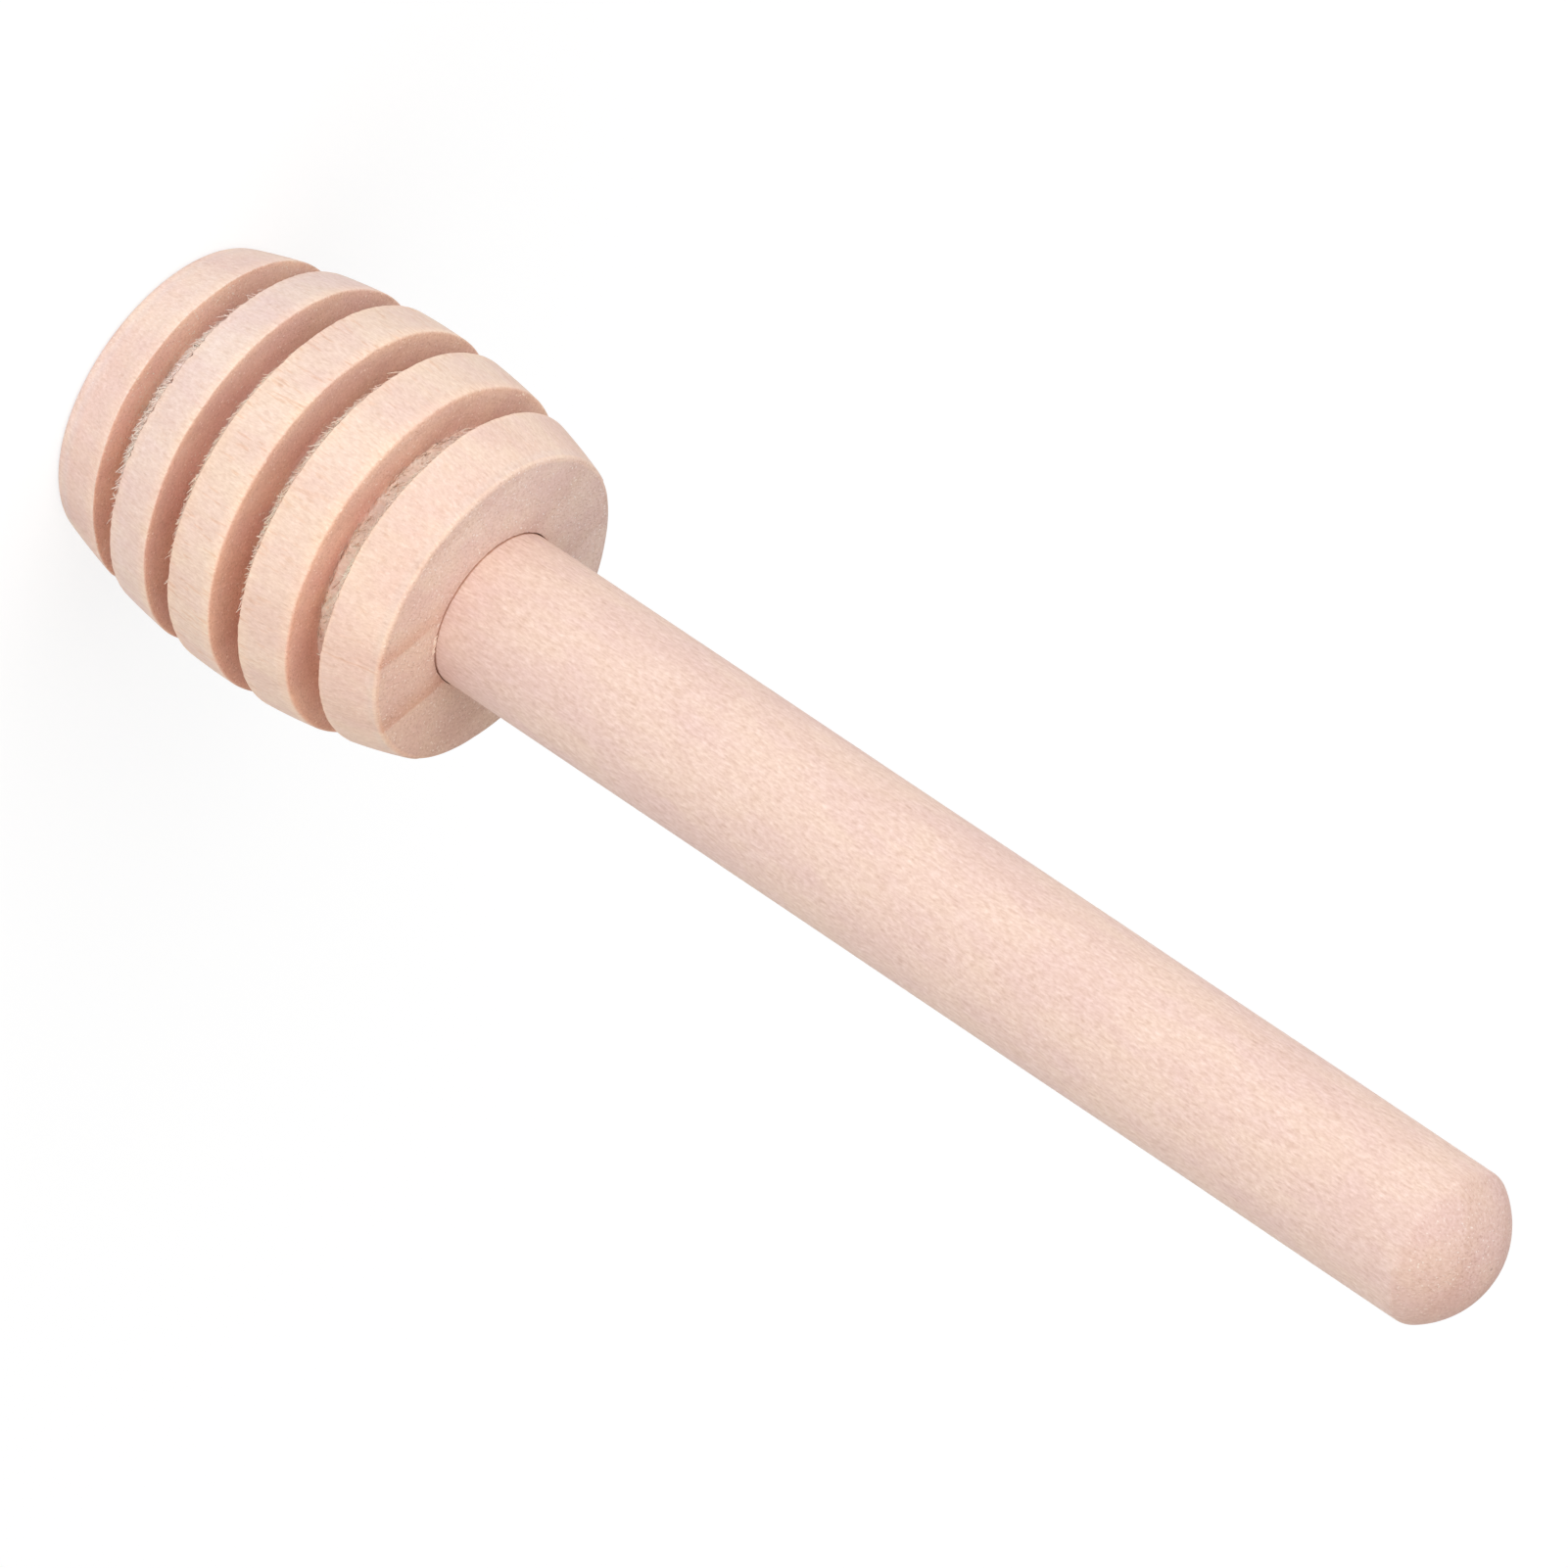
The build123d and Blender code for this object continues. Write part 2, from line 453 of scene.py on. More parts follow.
def beech_group():
    """Figure of sanded beech at a place in millimetres whose z runs along the grain and whose x = y = 0 is
    the pith: colour, roughness and relief, from growth rings, long fibres, ray flecks and end-grain pores."""
    group = bpy.data.node_groups.new("beech_figure", "ShaderNodeTree")
    for label, kind in (
        ("Place", "NodeSocketVector"),
        ("End grain", "NodeSocketFloat"),
        ("Cream", "NodeSocketColor"),
        ("Rose", "NodeSocketColor"),
        ("Ring spacing", "NodeSocketFloat"),
        ("Streaks", "NodeSocketFloat"),
        ("Specks", "NodeSocketFloat"),
    ):
        group.interface.new_socket(label, in_out="INPUT", socket_type=kind)
    for label, kind in (
        ("Colour", "NodeSocketColor"),
        ("Roughness", "NodeSocketFloat"),
        ("Relief", "NodeSocketFloat"),
    ):
        group.interface.new_socket(label, in_out="OUTPUT", socket_type=kind)
    given = group.nodes.new("NodeGroupInput").outputs
    place, end_grain = given["Place"], given["End grain"]
    long_grain = sums(group, "SUBTRACT", 1.0, end_grain)

    # growth rings round the pith, with a thin darker line where each year ends
    x, y, _ = join(group, "ShaderNodeSeparateXYZ", ("Vector", place)).node.outputs
    square = sums(group, "ADD", sums(group, "MULTIPLY", x, x), sums(group, "MULTIPLY", y, y))
    sway = sums(group, "MULTIPLY", noise(group, place, RING_SWAY_STRETCH), RING_SWAY)
    swayed = sums(group, "ADD", sums(group, "SQRT", square), sway)
    year = sums(group, "FRACT", sums(group, "DIVIDE", swayed, given["Ring spacing"]))
    late = late_wood(group, year, 0.45, 0.93)

    # fibres: thin along x and y, long along z
    fibre = noise(group, place, FIBRE_STRETCH, 3.0, 0.6)
    hair = noise(group, place, HAIR_STRETCH, 2.0, 0.6)
    patch = noise(group, place, PATCH_STRETCH, 3.0, 0.55)
    speck = noise(group, place, SPECK_STRETCH, 1.5, 0.6)
    blotch = noise(group, place, BLOTCH_STRETCH, 2.0)

    # ray flecks in some of the cells, and end-grain pores
    fleck_cell = cells(group, place, FLECK_STRETCH)
    red = join(group, "ShaderNodeSeparateColor", ("Color", fleck_cell["Color"]))
    fleck = fall(group, fleck_cell["Distance"], 0.12, 0.3)
    fleck = sums(group, "MULTIPLY", fleck, ramp(group, red, 0.45, 0.7))
    fleck = sums(group, "MULTIPLY", fleck, long_grain)
    pore = fall(group, cells(group, place, PORE_STRETCH)["Distance"], 0.1, 0.45)
    pore = sums(group, "MULTIPLY", pore, end_grain)

    # together they make the wood lighter or darker, and darker wood is redder
    light = sums(group, "ADD", swing(group, fibre, given["Streaks"]), swing(group, hair, HAIR_LIGHT))
    light = sums(group, "MULTIPLY", light, long_grain)
    light = sums(group, "ADD", light, swing(group, speck, given["Specks"]))
    ring_depth = sums(group, "MULTIPLY", end_grain, -LATE_WOOD_DARKER_ON_ENDS)
    ring_depth = sums(group, "ADD", ring_depth, -LATE_WOOD_DARK)
    light = sums(group, "ADD", light, sums(group, "MULTIPLY", late, ring_depth))
    light = sums(group, "ADD", light, sums(group, "MULTIPLY", fleck, -FLECK_DARK))
    light = sums(group, "ADD", light, sums(group, "MULTIPLY", pore, -PORE_DARK))
    level = sums(group, "ADD", light, 1.0)
    tint = join(
        group, "ShaderNodeCombineXYZ", ("X", level), ("Y", sums(group, "POWER", level, GREEN_FALL)),
        ("Z", sums(group, "POWER", level, BLUE_FALL)),
    )
    base = blend_colour(group, ramp(group, patch, 0.36, 0.64), given["Cream"], given["Rose"])
    colour = tinted(group, base, tint)

    # end grain catches dust and fine chips as tiny pale dots, and the wood's hue changes a little
    chip = ramp(group, noise(group, place, CHIP_STRETCH, 0.0), 0.70, 0.80)
    colour = blend_colour(group, sums(group, "MULTIPLY", chip, end_grain), colour, CHIP_COLOUR)
    colour = tinted(group, colour, blend_colour(group, ramp(group, blotch, 0.35, 0.65), *BLOTCH_TINTS))

    relief = sums(group, "MULTIPLY", sums(group, "ADD", fibre, hair), long_grain)
    relief = sums(group, "SUBTRACT", relief, pore)
    fibre_rough = sums(group, "MULTIPLY", fibre, FIBRE_ROUGH)
    rough = sums(group, "ADD", fibre_rough, sums(group, "MULTIPLY", end_grain, END_GRAIN_ROUGH))
    rough = sums(group, "ADD", rough, SANDED_ROUGH)

    sink = group.nodes.new("NodeGroupOutput")
    for label, source in (("Colour", colour), ("Roughness", rough), ("Relief", relief)):
        group.links.new(source, sink.inputs[label])
    return group


def mask(tree, label):
    """A point attribute of the piece, as a value."""
    return join(tree, "ShaderNodeAttribute", attribute_name=label).node.outputs["Fac"]


def own_coordinates(tree):
    """The piece's own coordinates, in metres."""
    return join(tree, "ShaderNodeTexCoord").node.outputs["Object"]


def object_place(tree):
    """The piece's own coordinates in millimetres, whole and as x, y and z."""
    whole = scaled(tree, own_coordinates(tree), (1 / MM, 1 / MM, 1 / MM))
    return whole, join(tree, "ShaderNodeSeparateXYZ", ("Vector", whole)).node.outputs


def mapped_place(tree, shift=(0.0, 0.0, 0.0), turn=(0.0, 0.0, 0.0)):
    """The piece's own coordinates in millimetres, turned by angles in radians and shifted."""
    return join(
        tree, "ShaderNodeMapping", ("Vector", own_coordinates(tree)), ("Location", shift), ("Rotation", turn),
        ("Scale", (1 / MM, 1 / MM, 1 / MM)),
    )


def bumps(tree, relief, depth):
    """A normal from a relief whose full height is depth in millimetres."""
    return join(tree, "ShaderNodeBump", ("Height", relief), ("Distance", depth * MM), ("Strength", 1.0))


def new_material(name):
    """A material with its tree and its shader."""
    material = bpy.data.materials.new(name)
    material.use_nodes = True
    return material, material.node_tree, material.node_tree.nodes["Principled BSDF"]


beech = beech_group()


def beech_material(name, pith, turn, cream, rose, ring_spacing, streaks, specks):
    """A material with the beech figure wired to the piece's own object coordinates in millimetres.
    Returns it with its tree, shader and the figure's outputs, for what the piece adds."""
    material, tree, shader = new_material(name)
    figure = tree.nodes.new("ShaderNodeGroup")
    figure.node_tree = beech
    tree.links.new(mapped_place(tree, pith, turn), figure.inputs["Place"])
    tree.links.new(mask(tree, "end_grain"), figure.inputs["End grain"])
    for label, value in (
        ("Cream", cream),
        ("Rose", rose),
        ("Ring spacing", ring_spacing),
        ("Streaks", streaks),
        ("Specks", specks),
    ):
        figure.inputs[label].default_value = value
    return material, tree, shader, figure.outputs


# Bare wood is never paler than this, and reflects little light at its surface. Its grain stands this high.
PALEST_WOOD = (0.97, 0.97, 0.97, 1)
WOOD_SPECULAR = 0.25
GRAIN_RELIEF = 0.02


def finish_wood(tree, shader, colour, rough, relief):
    """Wires colour, roughness and relief into the shader, with no channel above the palest wood's."""
    colour = blend_colour(tree, 1.0, colour, PALEST_WOOD, "DARKEN")
    tree.links.new(colour, shader.inputs["Base Color"])
    tree.links.new(rough, shader.inputs["Roughness"])
    tree.links.new(bumps(tree, relief, GRAIN_RELIEF), shader.inputs["Normal"])
    shader.inputs["Specular IOR Level"].default_value = WOOD_SPECULAR


# The head's wood. The figure is centred on the pith, which lies outside the block.
HEAD_CREAM = (0.865, 0.67, 0.549, 1)
HEAD_ROSE = (0.828, 0.614, 0.521, 1)
HEAD_PITH = (16.0, 36.8, 3.0)
HEAD_RING_SPACING = 4.25

head_wood, tree, shader, figure = beech_material(
    "turned beech", HEAD_PITH, turn=(0.02, 0.03, 0.0), cream=HEAD_CREAM, rose=HEAD_ROSE,
    ring_spacing=HEAD_RING_SPACING, streaks=0.20, specks=0.26,
)
end_grain = mask(tree, "end_grain")
long_grain = sums(tree, "SUBTRACT", 1.0, end_grain)
whole, (across, deep, up_grain) = object_place(tree)
flat = join(tree, "ShaderNodeCombineXYZ", ("X", across), ("Y", deep))
from_axis = measure(tree, "LENGTH", flat)

# The block runs from tan heartwood on one side to greyer pink on the other and pales towards the tip. The
# groove walls are paler low down, and deep inside on the near side they carry painted light that lifts their
# shade. A zone is where a change begins and ends.
HEARTWOOD_REACH = 6.5
WALL_TAN = (0.960, 0.870, 0.850, 1)
WALL_PINK = (0.960, 0.760, 0.690, 1)
FACE_TAN = (0.900, 0.890, 0.940, 1)
FACE_PINK = (0.900, 0.805, 0.770, 1)
SKIN_TAN = (1.005, 1.01, 1.03, 1)
SKIN_PINK = (1.05, 1.04, 1.03, 1)
FIRST_WALL_TINT = (1.08, 1.06, 1.00, 1)
TIP_END_TINT = (0.98, 0.97, 0.99, 1)
DEEP_WALL_PAINTED_LIGHT = (1.15, 1.18, 1.22, 1)
TIP_SKIN_TINT = (0.985, 1.04, 1.12, 1)
FIRST_WALL_ZONE = (3.1, 3.3)
TIP_END_ZONE = (0.6, 1.2)
FACE_ZONE = (head_top - 0.7, head_top - 0.3)
DEEP_ZONE = (7.0, 9.0)
NEAR_SIDE_ZONE = (-7.2, -4.6)
PALE_SKIN_ZONE = (5.0, 8.9)

side = ramp(tree, across, -HEARTWOOD_REACH, HEARTWOOD_REACH)
wall_tint = blend_colour(tree, side, WALL_TAN, WALL_PINK)
wall_tint = tinted(tree, wall_tint, FIRST_WALL_TINT, fall(tree, up_grain, *FIRST_WALL_ZONE))
wall_tint = blend_colour(tree, ramp(tree, up_grain, *TIP_END_ZONE), TIP_END_TINT, wall_tint)
face_tint = blend_colour(tree, side, FACE_TAN, FACE_PINK)
end_tint = blend_colour(tree, ramp(tree, up_grain, *FACE_ZONE), wall_tint, face_tint)
# Painted light: the groove walls deep inside on the near side are made paler, lifting their shade
painted_groove_light = sums(tree, "MULTIPLY", fall(tree, from_axis, *DEEP_ZONE), fall(tree, deep, *NEAR_SIDE_ZONE))
painted_groove_light = sums(tree, "MULTIPLY", painted_groove_light, fall(tree, up_grain, *FACE_ZONE))
end_tint = tinted(tree, end_tint, DEEP_WALL_PAINTED_LIGHT, painted_groove_light)
skin_tint = blend_colour(tree, side, SKIN_TAN, SKIN_PINK)
colour = tinted(tree, figure["Colour"], blend_colour(tree, end_grain, skin_tint, end_tint))
colour = tinted(tree, colour, TIP_SKIN_TINT, fall(tree, up_grain, *PALE_SKIN_ZONE))

# Cutter marks run round the face, and short dark scratches along the grain, most of all on the middle ring
CUTTER_MARKS_PER_MM = 5.0
CUTTER_MARK_STRENGTH = 0.5
CUTTER_MARK_TINT = (0.95, 0.93, 0.92, 1)
SCRATCH_STRETCH = (5.5, 5.5, 0.9)
SCRATCH_TINT = (0.95, 0.87, 0.80, 1)
SCRATCHES_BELOW = 0.35
SCRATCHES_ABOVE = 0.45
SCRATCHES_BEGIN = (7.5, 9.2)
SCRATCHES_END = (12.0, 16.5)

marks = join(
    tree, "ShaderNodeTexNoise", ("W", from_axis), ("Scale", CUTTER_MARKS_PER_MM), ("Detail", 2.0),
    noise_dimensions="1D",
)
on_ends = sums(tree, "MULTIPLY", end_grain, CUTTER_MARK_STRENGTH)
marks = sums(tree, "MULTIPLY", ramp(tree, marks, 0.3, 0.7), on_ends)
colour = tinted(tree, colour, CUTTER_MARK_TINT, marks)
scratch = ramp(tree, noise(tree, whole, SCRATCH_STRETCH, 1.0), 0.60, 0.68)
from_below = ramp(tree, up_grain, *SCRATCHES_BEGIN, SCRATCHES_BELOW, 1.0)
from_above = ramp(tree, up_grain, *SCRATCHES_END, 1.0, SCRATCHES_ABOVE)
scratched = sums(tree, "MULTIPLY", from_below, from_above)
scratched = sums(tree, "MULTIPLY", scratched, long_grain)
colour = tinted(tree, colour, SCRATCH_TINT, sums(tree, "MULTIPLY", scratch, scratched))

# Two reddish growth rings end sharply on the left of the face. Radii are from the pith.
RED_RING_START = 37.8
RED_RINGS_END = (42.3, 42.6)
RED_RING_SWAY = 0.35
RED_RING_SIDE = (0.0, 3.5)
RED_RING_TINT = (0.94, 0.83, 0.79, 1)

from_pith = measure(tree, "DISTANCE", flat, (-HEAD_PITH[0], -HEAD_PITH[1], 0.0))
ring_sway = sums(tree, "MULTIPLY", noise(tree, whole, (0.3, 0.3, 0.1)), RED_RING_SWAY)
from_pith = sums(tree, "ADD", from_pith, ring_sway)
years = sums(tree, "DIVIDE", sums(tree, "SUBTRACT", from_pith, RED_RING_START), HEAD_RING_SPACING)
band = late_wood(tree, sums(tree, "FRACT", years), 0.62, 0.97)
band = sums(tree, "MULTIPLY", band, fall(tree, from_pith, *RED_RINGS_END))
on_face = sums(tree, "MULTIPLY", end_grain, ramp(tree, up_grain, *FACE_ZONE))
on_left = sums(tree, "MULTIPLY", on_face, ramp(tree, across, *RED_RING_SIDE))
colour = tinted(tree, colour, RED_RING_TINT, sums(tree, "MULTIPLY", band, on_left))

# One dark grain line crosses the face ring on the near left: its way, its place and its soft half width
DARK_LINE_WAY = (0.731, 0.682, 0.0)
DARK_LINE_PLACE = 0.125
DARK_LINE_WIDTH = (0.02, 0.07)
DARK_LINE_SWAY = 0.25
DARK_LINE_SIDE = (3.0, 4.0)
DARK_LINE_HEIGHT = (head_top - 3.2, head_top - 2.6)
DARK_LINE_TINT = (0.92, 0.82, 0.72, 1)

line_sway = sums(tree, "MULTIPLY", noise(tree, whole, (1.0, 1.0, 1.6)), DARK_LINE_SWAY)
waved = sums(tree, "ADD", measure(tree, "DOT_PRODUCT", whole, DARK_LINE_WAY), line_sway)
off_line = sums(tree, "ABSOLUTE", sums(tree, "SUBTRACT", waved, DARK_LINE_PLACE))
side_share = ramp(tree, across, *DARK_LINE_SIDE)
near_left = sums(tree, "MULTIPLY", side_share, ramp(tree, up_grain, *DARK_LINE_HEIGHT))
line = sums(tree, "MULTIPLY", fall(tree, off_line, *DARK_LINE_WIDTH), near_left)
colour = tinted(tree, colour, DARK_LINE_TINT, sums(tree, "MULTIPLY", line, long_grain))

# Painted shade darkens the wood inside the socket's mouth. Arrises are paler with wear and a painted
# highlight, and torn fibres are paler in their own colour and with painted light
MOUTH_ZONE = (SOCKET_RADIUS + 0.02, SOCKET_RADIUS + MOUTH_REACH)
MOUTH_HEIGHT = (head_top - 0.05, head_top - 0.01)
MOUTH_PAINTED_SHADE = (0.74, 0.57, 0.48, 1)
TORN_TINT_AND_PAINTED_LIGHT = (1.14, 1.15, 1.15, 1)
ARRIS_PAINTED_HIGHLIGHT_AND_WEAR = (1.09, 1.07, 1.01, 1)
ARRIS_PALE_SHARE = 0.8
TORN_ROUGH = 0.9

# Painted shade: the socket wall is darkened in the gap round the dowel
inside = sums(tree, "MULTIPLY", fall(tree, from_axis, *MOUTH_ZONE), fall(tree, up_grain, *MOUTH_HEIGHT))
colour = tinted(tree, colour, MOUTH_PAINTED_SHADE, inside)
torn = mask(tree, "torn")
# Torn fibres are paler in their own colour and with painted light for the light they catch
colour = tinted(tree, colour, TORN_TINT_AND_PAINTED_LIGHT, torn)
# Painted highlight and wear: the arrises, and some torn fibres at random, are made paler
colour = tinted(tree, colour, ARRIS_PAINTED_HIGHLIGHT_AND_WEAR, sums(tree, "MULTIPLY", mask(tree, "arris"), ARRIS_PALE_SHARE))
rough = sums(tree, "MAXIMUM", figure["Roughness"], sums(tree, "MULTIPLY", torn, TORN_ROUGH))
finish_wood(tree, shader, colour, rough, figure["Relief"])
head.data.materials.append(head_wood)
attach(head, "root")
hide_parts("dipper_head")


# The torn fibres: slivers of the same beech that the cutter lifted along the groove floors, short ones that
# hang from the lower edges of four rings, and a few across the gap round the dowel. Each is a thin tube that
# tapers, and all of them are one mesh in the head's wood.

FIBRES_PER_GROOVE = 600
FRINGE_FIBRES = 850
SEAM_FIBRES = 22
PATH_POINTS = 5
# A sound floor has this share of a torn one's fibres, and this share of all is rooted by the lower wall
SOUND_FLOOR_SHARE = 0.25
FROM_BELOW_SHARE = 0.7
LOWER_WALL_GAP = 0.04
UPPER_WALL_GAP = 0.06
ROOT_BAND = 0.5
ROOT_DEPTH = 0.03
RISE_SHARE = 0.85
# Half of the mean lift above the least on each floor, the least lift, and the most that comes on top of it
FIBRE_LIFTS = (0.03, 0.03, 0.04, 0.09)
LEAST_LIFT = 0.035
MOST_LIFT = 0.3
FIBRE_LENGTHS = (0.05, 0.45)
FIBRE_WIDTHS = (0.025, 0.062)
# Mean and spread of the way that a fibre leans over its length, and spread of its curl
FIBRE_SLANT = (0.34, 0.15)
FIBRE_CURL = 0.16
TIP_CLIMB = 0.01
TIP_NARROWING = 0.5
# Torn lower edges: which ring, middle and half width of the arc in degrees, and mean hang
FRINGES = ((1, -90, 50, 0.17), (2, -80, 46, 0.11), (3, -92, 56, 0.15), (4, -92, 56, 0.11))
FRINGE_EVENNESS = 2.5
MOST_HANG = 0.45
FRINGE_INSET = 0.05
FRINGE_TUCK = 0.05
FRINGE_DEPTH = 0.30
FRINGE_ROOT = 0.03
FRINGE_SLANT = (0.30, 0.18)
FRINGE_CURL = 0.12
FRINGE_WIDTHS = (0.02, 0.042)
# Fibres across the gap lie in this arc of the face, in degrees
SEAM_ARC = (-53, -36)
SEAM_LEAN = 0.03
SEAM_START = 0.14
SEAM_REACH = 0.24
SEAM_SINK = 0.015
SEAM_ARCH = 0.02
SEAM_WIDTHS = (0.018, 0.03)
SEAM_NARROWING = 0.3
MOST_PALE = 0.7

chance = np.random.default_rng(90)
along = np.linspace(0, 1, PATH_POINTS)


def torn_at(groove, degrees):
    """How badly a groove's floor tore at any angle, read between the columns."""
    return np.interp(degrees, degrees_round, torn_share(groove), period=360)


def floor_fibres(groove):
    """Paths on a groove's floor for s from 0 to 1, as radius, turn, height and width: the radius lifts by
    sin(0.7 pi s), the turn runs on by (slant s + curl s^2) / floor, and the height goes by length s."""
    floor = GROOVE_FLOORS[groove]
    tries = chance.uniform(0, 360, FIBRES_PER_GROOVE * 4)
    kept_share = SOUND_FLOOR_SHARE + (1 - SOUND_FLOOR_SHARE) * torn_at(groove, tries)
    chosen = chance.uniform(0, 1, len(tries)) < kept_share
    turn = np.radians(tries[chosen][:FIBRES_PER_GROOVE])[:, None]
    shape = turn.shape
    from_below = chance.uniform(0, 1, shape) < FROM_BELOW_SHARE
    low = ring_tops[groove] + LOWER_WALL_GAP
    high = ring_bottoms[groove + 1] - UPPER_WALL_GAP
    above_low = low + chance.uniform(0, ROOT_BAND, shape)
    below_high = high - chance.uniform(0, ROOT_BAND, shape)
    root = np.where(from_below, above_low, below_high)
    way = np.where(from_below, 1, -1)
    length = chance.uniform(*FIBRE_LENGTHS, shape) * way
    up_slope = np.clip(np.minimum(root - low, high - root) / RISE_SLOPE, 0, 1)
    torn_here = torn_at(groove, np.degrees(turn))
    stand = floor - ROOT_DEPTH + RISE_SHARE * FLOOR_RISES[groove] * torn_here * up_slope
    lift = chance.gamma(2.0, FIBRE_LIFTS[groove], shape).clip(0, MOST_LIFT) + LEAST_LIFT
    slant = -chance.normal(*FIBRE_SLANT, shape) * way
    curl = chance.normal(0, FIBRE_CURL, shape)
    width = chance.uniform(*FIBRE_WIDTHS, shape)
    return (
        stand + lift * np.sin(0.7 * math.pi * along),
        turn + (slant * along + curl * along**2) / floor,
        np.clip(root + length * along, low, high) + TIP_CLIMB * along,
        width * (1 - TIP_NARROWING * along),
    )


def fringe_fibres(ring, middle, half, hang):
    """Paths that hang from a ring's lower edge, crowded at the middle of an arc of the turn: the height
    falls by (root + drop) s, and the turn runs on by (slant s + curl s^2) / edge."""
    shape = (FRINGE_FIBRES, 1)
    crowded = half * chance.uniform(-1, 1, shape) ** 3 * 0.5
    spread = half * chance.uniform(-0.5, 0.5, shape)
    turn = np.radians(middle + crowded + spread)
    edge = float(crest(ring_bottoms[ring]))
    drop = chance.gamma(FRINGE_EVENNESS, hang / FRINGE_EVENNESS, shape).clip(0, MOST_HANG)
    inward = chance.uniform(0, FRINGE_DEPTH, shape)
    slant = chance.normal(*FRINGE_SLANT, shape)
    curl = chance.normal(0, FRINGE_CURL, shape)
    width = chance.uniform(*FRINGE_WIDTHS, shape)
    return (
        edge - FRINGE_INSET - inward - FRINGE_TUCK * along,
        turn + (slant * along + curl * along**2) / edge,
        ring_bottoms[ring] + FRINGE_ROOT - (drop + FRINGE_ROOT) * along,
        width * (1 - TIP_NARROWING * along),
    )


def seam_fibres():
    """Paths from the face's wood across the gap to the dowel: the radius falls by reach s, and the height
    swells by sin(pi s)."""
    shape = (SEAM_FIBRES, 1)
    turn = np.radians(chance.uniform(*SEAM_ARC, shape))
    lean = chance.normal(0, SEAM_LEAN, shape)
    width = chance.uniform(*SEAM_WIDTHS, shape)
    return np.broadcast_arrays(
        SOCKET_RADIUS + SEAM_START - SEAM_REACH * along,
        turn + lean * along,
        head_top - SEAM_SINK + SEAM_ARCH * np.sin(math.pi * along),
        width * (1 - SEAM_NARROWING * along),
    )


def fibre_tubes(name, radius, turn, height, width, paleness):
    """Three-sided tapering tubes along paths in round coordinates, one row per fibre. At a path point p with
    unit tangent T and tangential way f: u = f x T / |f x T|, v = T x u, corners p + w (cos a u + sin a v)."""
    place = np.stack([radius * np.cos(turn), radius * np.sin(turn), height], axis=-1)
    tangent = np.gradient(place, axis=1)
    tangent /= np.linalg.norm(tangent, axis=-1, keepdims=True)
    sideways = np.stack([-np.sin(turn), np.cos(turn), 0 * turn], axis=-1)
    u = np.cross(sideways, tangent)
    u /= np.linalg.norm(u, axis=-1, keepdims=True)
    v = np.cross(tangent, u)
    a = (np.arange(3) / 3 * 2 * math.pi)[:, None]
    spokes = np.cos(a) * u[:, :, None] + np.sin(a) * v[:, :, None]
    corners = place[:, :, None] + width[:, :, None, None] * spokes
    numbers = np.arange(corners[..., 0].size).reshape(corners.shape[:3])
    ahead = np.roll(numbers, -1, axis=2)
    quads = np.stack([numbers[:, :-1], ahead[:, :-1], ahead[:, 1:], numbers[:, 1:]], axis=-1)
    faces = quads.reshape(-1, 4).tolist() + numbers[:, 0, ::-1].tolist() + numbers[:, -1].tolist()
    pale = np.broadcast_to(paleness[:, None, None], numbers.shape).reshape(-1)
    return new_piece(name, corners.reshape(-1, 3), faces, {"arris": pale, "torn": np.ones_like(pale)})


paths = [floor_fibres(groove) for groove in range(len(GROOVE_FLOORS))]
paths += [fringe_fibres(*fringe) for fringe in FRINGES]
paths.append(seam_fibres())
all_paths = [np.concatenate(values) for values in zip(*paths)]
paleness = chance.uniform(0.0, MOST_PALE, len(all_paths[0]))
fibres = fibre_tubes("torn_fibres", *all_paths, paleness)
fibres.data.materials.append(head_wood)
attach(fibres, "root")
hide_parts("dipper_head")


# The handle: a stock beech dowel sanded along its length, glued into the head, with its free end turned to a
# low dome and its arris softened.

DOWEL_RADIUS = 4.0
HANDLE_REACH = 61.21
DOME_HEIGHT = 2.35
DOME_ARRIS = 0.22
SOCKET_FLOOR_GAP = 0.4
TENON_RADIUS = 3.88
TENON_CHAMFER = 0.5
TAPER_START = 0.3
DOWEL_WAVINESS = 0.01
# The dome's points begin at this share of its arc, past the softened arris
DOME_START_SHARE = 0.07
DOME_POINTS = 26
DOWEL_ROWS = 70
HANDLE_COLUMNS = 384

dowel_bottom = socket_floor + SOCKET_FLOOR_GAP
dowel_top = head_top + HANDLE_REACH
dome_bottom = dowel_top - DOME_HEIGHT


def dome_points():
    """The dome's arc from its edge to its crown: r = R sin v, height = top - R (1 - cos v)."""
    radius = bow(DOWEL_RADIUS, DOME_HEIGHT)
    edge = math.asin(DOWEL_RADIUS / radius)
    v = edge * (1 - np.linspace(DOME_START_SHARE, 1, DOME_POINTS))
    return np.stack([radius * np.sin(v), dowel_top - radius * (1 - np.cos(v))], axis=1)


def handle_corners():
    """The half section from the middle of the tenon's end, up the dowel and over the dome."""
    corners = [
        (AXIS_RADIUS, dowel_bottom, 0, 1, 0, 0),
        (TENON_RADIUS - TENON_CHAMFER, dowel_bottom, 0, 1, 0, 0),
        (TENON_RADIUS, dowel_bottom + TENON_CHAMFER, 0, 1, 4, 0),
        (DOWEL_RADIUS, head_top + TAPER_START, 0, 1, DOWEL_ROWS, 0),
        (DOWEL_RADIUS, dome_bottom, DOME_ARRIS, 9, 0, 0),
    ]
    for radius, height in dome_points():
        corners.append((max(float(radius), AXIS_RADIUS), float(height), 0, 1, 0, 0))
    return corners


